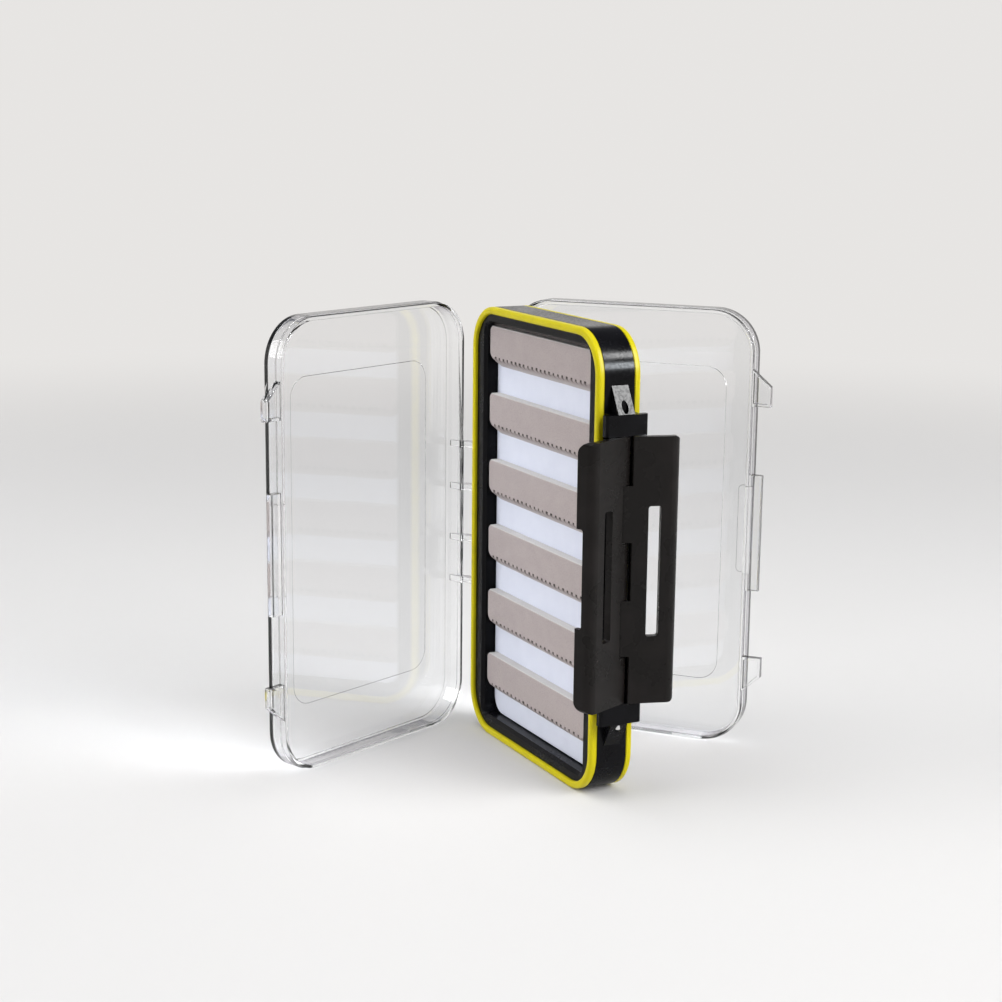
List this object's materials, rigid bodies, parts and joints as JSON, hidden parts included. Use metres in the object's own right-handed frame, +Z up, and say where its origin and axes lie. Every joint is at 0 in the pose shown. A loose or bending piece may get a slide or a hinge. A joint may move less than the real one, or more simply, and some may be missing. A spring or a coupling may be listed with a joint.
{
  "type": "fly box",
  "caption": "Double-sided fishing fly box: slit-foam frame with sealing gaskets, clear hinged lids on both faces and hinged latch flaps, shown standing open.",
  "frame": {"origin": "middle of the flat bottom end of the body frame, where the box stands", "axes": "+Z up along the frame's height; +X across the width, from the lid hinges to the latches; +Y through the thickness, from the front face to the rear face"},
  "size_m": [0.114, 0.167, 0.1508],
  "materials": {
    "frame_plastic": "glossy black ABS",
    "gasket_rubber": "matt yellow",
    "sheet_foam": "white closed-cell foam, felt-like",
    "strip_foam": "warm grey closed-cell foam with slits",
    "clear_plastic": "clear polycarbonate",
    "latch_plastic": "satin black",
    "pin_steel": "plain steel"
  },
  "bodies": {
    "body": {"body_frame": "frame_plastic", "gasket_front": "gasket_rubber", "gasket_rear": "gasket_rubber", "foam_sheet_front": "sheet_foam", "foam_sheet_rear": "sheet_foam", "foam_strip_front_1": "strip_foam", "foam_strip_front_2": "strip_foam", "foam_strip_front_3": "strip_foam", "foam_strip_front_4": "strip_foam", "foam_strip_front_5": "strip_foam", "foam_strip_front_6": "strip_foam", "foam_strip_rear_1": "strip_foam", "foam_strip_rear_2": "strip_foam", "foam_strip_rear_3": "strip_foam", "foam_strip_rear_4": "strip_foam", "foam_strip_rear_5": "strip_foam", "foam_strip_rear_6": "strip_foam", "latch_pin": "pin_steel", "hinge_pin_front_upper": "pin_steel", "hinge_pin_front_lower": "pin_steel", "hinge_pin_rear_upper": "pin_steel", "hinge_pin_rear_lower": "pin_steel"},
    "lid_front": {"lid_front": "clear_plastic"},
    "lid_rear": {"lid_rear": "clear_plastic"},
    "latch_front": {"latch_front": "latch_plastic"},
    "latch_rear": {"latch_rear": "latch_plastic"}
  },
  "joints": [
    {"name": "lid_front_hinge", "type": "hinge", "parent": "body", "child": "lid_front", "pos_m": [-0.0475, -0.0028, 0.075], "axis": [0, 0, -1], "range_deg": [-66.1, 43.9]},
    {"name": "lid_rear_hinge", "type": "hinge", "parent": "body", "child": "lid_rear", "pos_m": [-0.0475, 0.0028, 0.075], "axis": [0, 0, 1], "range_deg": [-40.6, 69.4]},
    {"name": "latch_front_hinge", "type": "hinge", "parent": "body", "child": "latch_front", "pos_m": [0.048, 0, 0.075], "axis": [0, 0, 1], "range_deg": [-24.5, 25.5]},
    {"name": "latch_rear_hinge", "type": "hinge", "parent": "body", "child": "latch_rear", "pos_m": [0.048, 0, 0.075], "axis": [0, 0, -1], "range_deg": [-17, 28]}
  ]
}
